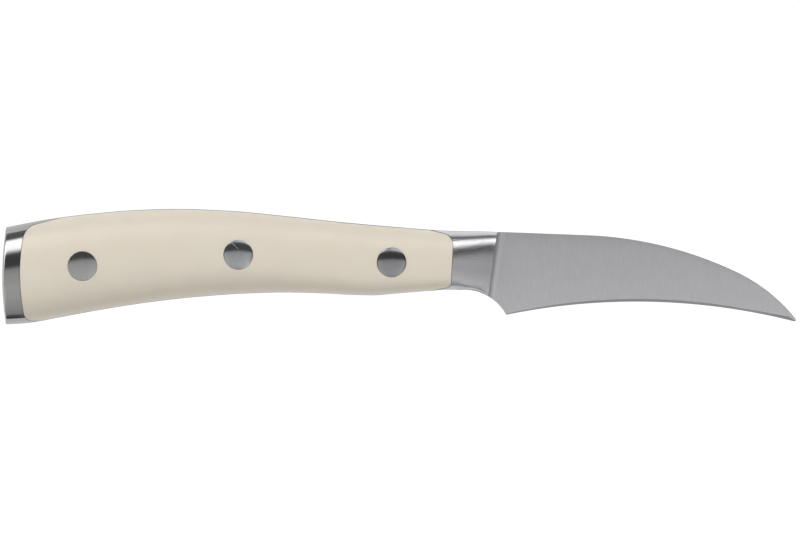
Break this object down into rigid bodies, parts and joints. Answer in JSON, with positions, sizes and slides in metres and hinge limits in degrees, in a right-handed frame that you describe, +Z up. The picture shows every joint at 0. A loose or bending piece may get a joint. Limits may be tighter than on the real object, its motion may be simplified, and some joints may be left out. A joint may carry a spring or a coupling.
{
  "type": "paring knife",
  "caption": "Turning and paring knife: turned-down blade, half bolster, full tang, steel butt cap and riveted cream scales.",
  "frame": {"origin": "centre of the knife's length and width, on the surface that its left side lies on", "axes": "+X from butt to point, +Y from cutting edge to spine, +Z up, out of the knife's right side"},
  "size_m": [0.1865, 0.0272, 0.0152],
  "materials": {
    "forged_steel": "stainless forging, satin ground across the blade and polished on bolster and butt cap",
    "cream_scale": "solid cream acetal, ground and polished flush with the tang",
    "rivet_steel": "stainless, ground and satin polished flush with the scales"
  },
  "bodies": {
    "root": {"blade_blank": "forged_steel", "right_scale": "cream_scale", "left_scale": "cream_scale", "rear_rivet_post": "rivet_steel", "rear_rivet_sleeve": "rivet_steel", "middle_rivet_post": "rivet_steel", "middle_rivet_sleeve": "rivet_steel", "front_rivet_post": "rivet_steel", "front_rivet_sleeve": "rivet_steel"}
  },
  "joints": []
}
